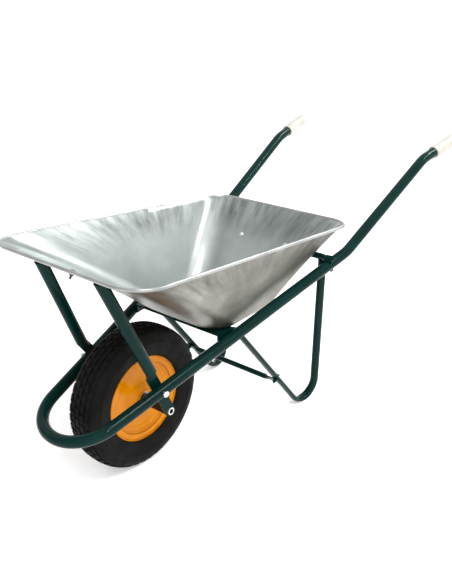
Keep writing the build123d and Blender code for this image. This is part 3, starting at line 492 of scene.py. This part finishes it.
# %% Raise the sheet ring by ring
tray = ring_of(corner_count, "tray_sheet")
put_points(tray, 0, [p * MM for p in rings[0]])
for step, ring in enumerate(rings[1:], 1):
    bpy.ops.mesh.extrude_region_move()
    put_points(tray, step * corner_count, [p * MM for p in ring])
mesh = bmesh.from_edit_mesh(tray.data)
mesh.verts.ensure_lookup_table()
for i, vertex in enumerate(mesh.verts):
    vertex.select = i < corner_count
mesh.select_flush(True)
for edge in mesh.edges:
    edge.select = edge.verts[0].select and edge.verts[1].select
bmesh.update_edit_mesh(tray.data)
bpy.ops.mesh.edge_face_add()
bpy.ops.mesh.inset(thickness=0.004)
bpy.ops.mesh.inset(thickness=0.03)
bpy.ops.mesh.select_all(action="SELECT")
bpy.ops.mesh.normals_make_consistent(inside=False)
bpy.ops.object.mode_set(mode="OBJECT")
if next(f for f in tray.data.polygons if len(f.vertices) > 20).normal.z < 0:
    bpy.ops.object.mode_set(mode="EDIT")
    bpy.ops.mesh.select_all(action="SELECT")
    bpy.ops.mesh.flip_normals()
    bpy.ops.object.mode_set(mode="OBJECT")
print("tray faces:", len(tray.data.polygons))

# %% Lay a map over the sheet
# The map runs round the tray in one direction and up the wall in the other, both in metres, so that
# streaks can follow the way the press drew the metal.
lengths = [0.0]
for a, b in zip(half_loop, half_loop[1:] + half_loop[:1]):
    lengths.append(lengths[-1] + (b - a).length * MM)
heights = [0.0]
for a, b in zip(rings, rings[1:]):
    heights.append(heights[-1] + (b[0] - a[0]).length * MM)
sheet_map = tray.data.uv_layers.new(name="sheet_map")
for face in tray.data.polygons:
    columns = [tray.data.loops[c].vertex_index % corner_count for c in face.loop_indices]
    wraps = len(face.vertices) == 4 and max(columns) - min(columns) > 2
    for corner in face.loop_indices:
        vertex = tray.data.loops[corner].vertex_index
        ring_number, column = divmod(vertex, corner_count)
        if ring_number < len(rings):
            round_way = lengths[-1] if wraps and column == 0 else lengths[column]
            sheet_map.data[corner].uv = (round_way, heights[ring_number])
        else:
            sheet_map.data[corner].uv = (tray.data.vertices[vertex].co.x, -0.1)
print("map height", round(heights[-1], 3), "m")

# %% [markdown]
# Galvanised sheet is bright but never even. On the inside it is a soft grey-green with dark streaks,
# strongest near the top of the walls. Outside it is duller, and painted darker and warmer as painted
# shade, with broad light and dark zones. Both are metal, so tone and roughness carry the look.


# %% Two finishes for pressed sheet
def pressed_sheet(name, tones, top_dark_tone, top_dark_from, rough, metal):
    """Galvanised sheet with clouds of tone and dark streaks, strongest near the top of the wall."""
    material = bpy.data.materials.new(name)
    material.use_nodes = True
    tree = material.node_tree
    shader = tree.nodes["Principled BSDF"]
    shader.inputs["Metallic"].default_value = metal
    tone = put(tree, "ShaderNodeGroup", node_tree=clouds)
    tone.inputs["Scale"].default_value = 5.0
    base = put(tree, "ShaderNodeMix", {"Factor": tone.outputs["Mask"]}, data_type="RGBA")
    base.inputs["A"].default_value, base.inputs["B"].default_value = tones
    drawn = put(tree, "ShaderNodeGroup", node_tree=streaks)
    drawn.inputs["Across"].default_value = 42.0
    drawn.inputs["Along"].default_value = 4.0
    map_place = put(tree, "ShaderNodeTexCoord")
    axes = put(tree, "ShaderNodeSeparateXYZ", {"Vector": map_place.outputs["UV"]})
    # The dark streaks fade in over the top of the walls, from the given height upwards.
    high = put(tree, "ShaderNodeMapRange", {
        "Value": axes.outputs["Y"], "From Min": top_dark_from, "From Max": top_dark_from + 0.13,
        "To Min": 0.0, "To Max": 1.0})
    top_darkening = put(tree, "ShaderNodeMath", {0: drawn.outputs["Mask"], 1: high.outputs["Result"]},
                  operation="MULTIPLY")
    colour = put(tree, "ShaderNodeMix", {"Factor": top_darkening.outputs["Value"]}, data_type="RGBA")
    colour.inputs["B"].default_value = top_dark_tone
    tree.links.new(base.outputs["Result"], colour.inputs["A"])
    tree.links.new(colour.outputs["Result"], shader.inputs["Base Color"])
    fine = put(tree, "ShaderNodeGroup", node_tree=streaks)
    fine.inputs["Across"].default_value = 260.0
    fine.inputs["Along"].default_value = 7.0
    drift = put(tree, "ShaderNodeMapRange", {
        "Value": fine.outputs["Mask"], "To Min": rough[0], "To Max": rough[1]})
    tree.links.new(drift.outputs["Result"], shader.inputs["Roughness"])
    relief = put(tree, "ShaderNodeBump", {
        "Height": fine.outputs["Mask"], "Distance": 0.00005, "Strength": 0.3})
    tree.links.new(relief.outputs["Normal"], shader.inputs["Normal"])
    return material


SHEET_INSIDE = pressed_sheet("sheet_inside", ((0.33, 0.36, 0.347, 1), (0.46, 0.495, 0.48, 1)),
                             (0.15, 0.165, 0.16, 1), 0.27, (0.30, 0.37), 0.88)
# The outside finish is painted shade: the same sheet as the inside, made darker and warmer.
SHEET_OUTSIDE_SHADED = pressed_sheet("sheet_outside_painted_shade", ((0.13, 0.125, 0.105, 1), (0.30, 0.295, 0.26, 1)),
                              (0.09, 0.085, 0.07, 1), 0.24, (0.34, 0.42), 0.85)
print("sheet finishes:", SHEET_INSIDE.name, SHEET_OUTSIDE_SHADED.name)

# %% Give the sheet its thickness
EDGE = finish("rolled_edge", ((0.26, 0.27, 0.265, 1), (0.42, 0.43, 0.42, 1)), (0.34, 0.42), metal=0.9,
              clouds_scale=14, bump=0.0001, dusty=0.0)
for sheet_finish in (SHEET_INSIDE, SHEET_OUTSIDE_SHADED, EDGE, EDGE):
    tray.data.materials.append(sheet_finish)
for face in tray.data.polygons:
    if min(face.vertices) >= first_edge_ring * corner_count and max(face.vertices) < len(rings) * corner_count:
        face.material_index = 2
wall = tray.modifiers.new("sheet_thickness", "SOLIDIFY")
wall.thickness = SHEET * MM
wall.offset = -1.0
# The outer faces take the next finish along, so the sheet's outside gets the painted shade.
wall.material_offset = 1
bpy.ops.object.select_all(action="DESELECT")
bpy.context.view_layer.objects.active = tray
tray.select_set(True)
bpy.ops.object.modifier_apply(modifier=wall.name)
bpy.ops.object.shade_smooth_by_angle(angle=radians(50))
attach(tray, "frame")
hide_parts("tray")
print("tray:", len(tray.data.polygons), "faces")

# %% [markdown]
# ## The tyre
# The tyre is a hollow ring of rubber with thick beads that sit on the hoop. One closed outline,
# outside and inside, is spun about the axle. The tread is made afterwards: the outline has a point
# at the edge of each groove, so the faces of each block can be picked by their place and raised,
# while the faces between the blocks stay low and become the grooves.

# %% The tyre's outline
TREAD_DEPTH, TREAD_STEPS = 3.2, 180
BLOCK_STEPS = 4  # steps from one tread block to the next, the last one a groove
TREAD_LOW, SHOULDER, SHOULDER_END, SHOULDER_LOW = 189.0, 36, 45, 178
tread = [(0, 200), (6, 199.9), (9, 199.8), (22, 198.6), (25, 198), (36, 193.6)]
outside = [(y, r - TREAD_DEPTH) for y, r in tread]
outside += [(41, 187.6), (45, 180.5), (47.3, 171), (47.9, 165), (49.2, 163.5), (49.3, 158.5), (48.2, 157),
            (47.6, 149), (45.6, 138.5), (44.6, 135), (44.4, 131.5), (42, 127.5), (38.5, 122.5), (36.4, 121.3),
            (33.2, 121), (31.2, 118), (30.9, 105.2), (17.6, 105.2)]
inner = [(21, 112), (30, 122.5), (37, 134), (41, 147), (42, 158), (40.5, 170), (35.5, 180), (22, 187.6),
         (9, 190)]
half_outline = outside + inner
outline = half_outline + [(0, 190.3)] + [(-y, r) for y, r in reversed(half_outline[1:])]
print("points in the outline:", len(outline))

# %% Spin the tyre
places = [Vector((AXLE.x, y * MM, AXLE.z + r * MM)) for y, r in outline]
tyre = spun("tyre_rubber", places, TREAD_STEPS, AXLE, (0, 1, 0))
print("tyre faces:", len(tyre.data.polygons))

# %% Pick out the tread blocks and raise them
COLUMNS = [(-36, -25, 0), (-22, -9, 2), (-6, 6, 0), (9, 22, 2), (25, 36, 0)]
bpy.ops.object.mode_set(mode="EDIT")
bpy.ops.mesh.select_mode(type="FACE")
bpy.ops.mesh.select_all(action="DESELECT")
mesh = bmesh.from_edit_mesh(tyre.data)


def step_of(face):
    """Which of the tyre's steps a face lies on."""
    middle = face.calc_center_median()
    away = Vector((middle.x - AXLE.x, middle.z - AXLE.z))
    return int((away.angle_signed(Vector((1, 0))) % (2 * pi)) / (2 * pi) * TREAD_STEPS + 0.01)


for face in mesh.faces:
    middle = face.calc_center_median()
    across = middle.y / MM
    radius = hypot(middle.x - AXLE.x, middle.z - AXLE.z) / MM
    for low, high, stagger in COLUMNS:
        if radius > TREAD_LOW and low < across < high and (step_of(face) + stagger) % BLOCK_STEPS != 3:
            face.select = True
    on_shoulder = SHOULDER < abs(across) < SHOULDER_END and radius > SHOULDER_LOW
    if on_shoulder and step_of(face) % BLOCK_STEPS in (1, 2):
        face.select = True
bmesh.update_edit_mesh(tyre.data)
bpy.ops.mesh.inset(thickness=0.0006, use_even_offset=True)
mesh = bmesh.from_edit_mesh(tyre.data)
for face in mesh.faces:
    if face.select and abs(face.calc_center_median().y) / MM > 36.2:
        face.select = False
bmesh.update_edit_mesh(tyre.data)
bpy.ops.mesh.extrude_region_shrink_fatten(
    TRANSFORM_OT_shrink_fatten={"value": (TREAD_DEPTH - 0.4) * MM, "use_even_offset": False})
bpy.ops.mesh.select_all(action="SELECT")
bpy.ops.mesh.normals_make_consistent(inside=False)
bpy.ops.object.mode_set(mode="OBJECT")
reach = max(hypot(v.co.x - AXLE.x, v.co.z - AXLE.z) for v in tyre.data.vertices)
print("tyre radius", round(reach / MM, 2), "mm, faces", len(tyre.data.polygons))

# %% Finish the tyre
bpy.ops.object.shade_smooth_by_angle(angle=radians(28))
tyre.data.materials.append(RUBBER)
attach(tyre, "wheel")
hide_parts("tyre")
print("tyre ready")

# %% [markdown]
# ## The wheel's discs
# The yellow centre is two pressed discs, welded to the hoop outside and the hub inside. The face
# dips from the hoop, crosses a shallow crease, runs nearly flat, and rises to the hub. The corners
# of a press tool are always rounded, so the engineering outline is softened into a curve before it
# is spun. The valve needs a hole, which a round cutter takes out of the left disc.

# %% The disc's outline
DISC = [
    (30.5, 101.5), (30.3, 99.8), (27.6, 97.0), (25.2, 92.5), (24.2, 86.5), (21.6, 81.0), (20.5, 74.0),
    (20.4, 60.0), (22.2, 49.0), (27.0, 40.0), (32.2, 31.0), (34.5, 25.2), (32.4, 25.2), (30.2, 30.0),
    (25.0, 39.0), (20.3, 48.4), (18.4, 59.6), (18.6, 74.4), (19.6, 81.4), (22.2, 87.0), (23.3, 92.9),
    (25.6, 97.8), (28.2, 100.8),
]
print("disc outline points:", len(DISC))

# %% Spin both discs
discs = {}
for name, side in (("left", 1), ("right", -1)):
    curve = soften([(AXLE.x, side * y * MM, AXLE.z + r * MM) for y, r in DISC], 4)
    disc = spun(f"{name}_disc", curve, 128, AXLE, (0, 1, 0))
    discs[name] = disc
    print(disc.name, len(disc.data.polygons), "faces")

# %% Cut the valve's hole
HOLE_FROM_AXLE, HOLE_R = 0.0795, 0.0085
low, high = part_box("valve_stem")
reach_in = Vector(((low[0] + high[0]) / 2 - AXLE.x, 0, (low[2] + high[2]) / 2 - AXLE.z)).normalized()
hole_at = AXLE + reach_in * HOLE_FROM_AXLE + Vector((0, 0.021, 0))
bpy.ops.object.select_all(action="DESELECT")
bpy.ops.mesh.primitive_cylinder_add(vertices=40, radius=HOLE_R, depth=0.04, location=hole_at,
                                    rotation=(pi / 2, 0, 0))
cutter = bpy.context.object
cutter.name = "valve_cutter"
hole = discs["left"].modifiers.new("valve_hole", "BOOLEAN")
hole.operation = "DIFFERENCE"
hole.object = cutter
hole.solver = "EXACT"
bpy.ops.object.select_all(action="DESELECT")
bpy.context.view_layer.objects.active = discs["left"]
discs["left"].select_set(True)
bpy.ops.object.modifier_apply(modifier=hole.name)
bpy.data.objects.remove(cutter, do_unlink=True)
print("left disc:", len(discs["left"].data.polygons), "faces")

# %% Finish the discs
for name, disc in discs.items():
    bpy.ops.object.select_all(action="DESELECT")
    bpy.context.view_layer.objects.active = disc
    disc.select_set(True)
    bpy.ops.object.shade_smooth_by_angle(angle=radians(40))
    disc.data.materials.clear()
    disc.data.materials.append(YELLOW)
    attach(disc, "wheel")
    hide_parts(f"{name}_wheel_disc")
print("discs ready")

# %% [markdown]
# ## The grips
# Each grip is a moulded ivory sleeve with a rounded end and a raised collar where it meets the
# paint. Its outline is spun about the handle's own line. A set of shallow rings, a
# few tenths of a millimetre deep, is what a moulded grip has for hold.

# %% Spin the grips
TIP, BEND = Vector((-1183.0, 300.0, 733.0)), Vector((-1013.1, 281.6, 694.8))
LONG, SLEEVE_R, BORE_R = 122.0, 18.6, 16.05
sleeve = [(0.0, 0.0), (0.0, SLEEVE_R - 8), (0.5, SLEEVE_R - 4.5), (2.2, SLEEVE_R - 1.8), (6, SLEEVE_R - 0.1)]
for k in range(1, 12):
    sleeve += [(k * 9 - 2.0, SLEEVE_R), (k * 9, SLEEVE_R - 0.45), (k * 9 + 2.0, SLEEVE_R)]
sleeve += [(LONG - 13, SLEEVE_R - 0.6), (LONG - 8, SLEEVE_R + 1.1), (LONG - 2.5, SLEEVE_R + 1.2),
           (LONG - 0.3, SLEEVE_R + 0.3), (LONG, SLEEVE_R - 1.2), (LONG, BORE_R), (5, BORE_R), (5, 0.0)]
for name, side in (("left", 1), ("right", -1)):
    mirrored = Vector((1, side, 1))
    back = ((TIP - BEND) * mirrored).normalized()
    across = back.cross(Vector((0, 0, 1))).cross(back).normalized()
    tip = (Vector((AXLE.x / MM, 0, 0)) + TIP * mirrored + back * 5) * MM
    line = [tip - back * (a * MM) + across * (r * MM) for a, r in sleeve]
    grip = spun(f"{name}_sleeve", line, 64, tip, back)
    bpy.ops.object.shade_smooth_by_angle(angle=radians(50))
    grip.data.materials.append(IVORY)
    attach(grip, "frame")
    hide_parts(f"{name}_grip")
    print(grip.name, len(grip.data.polygons), "faces")
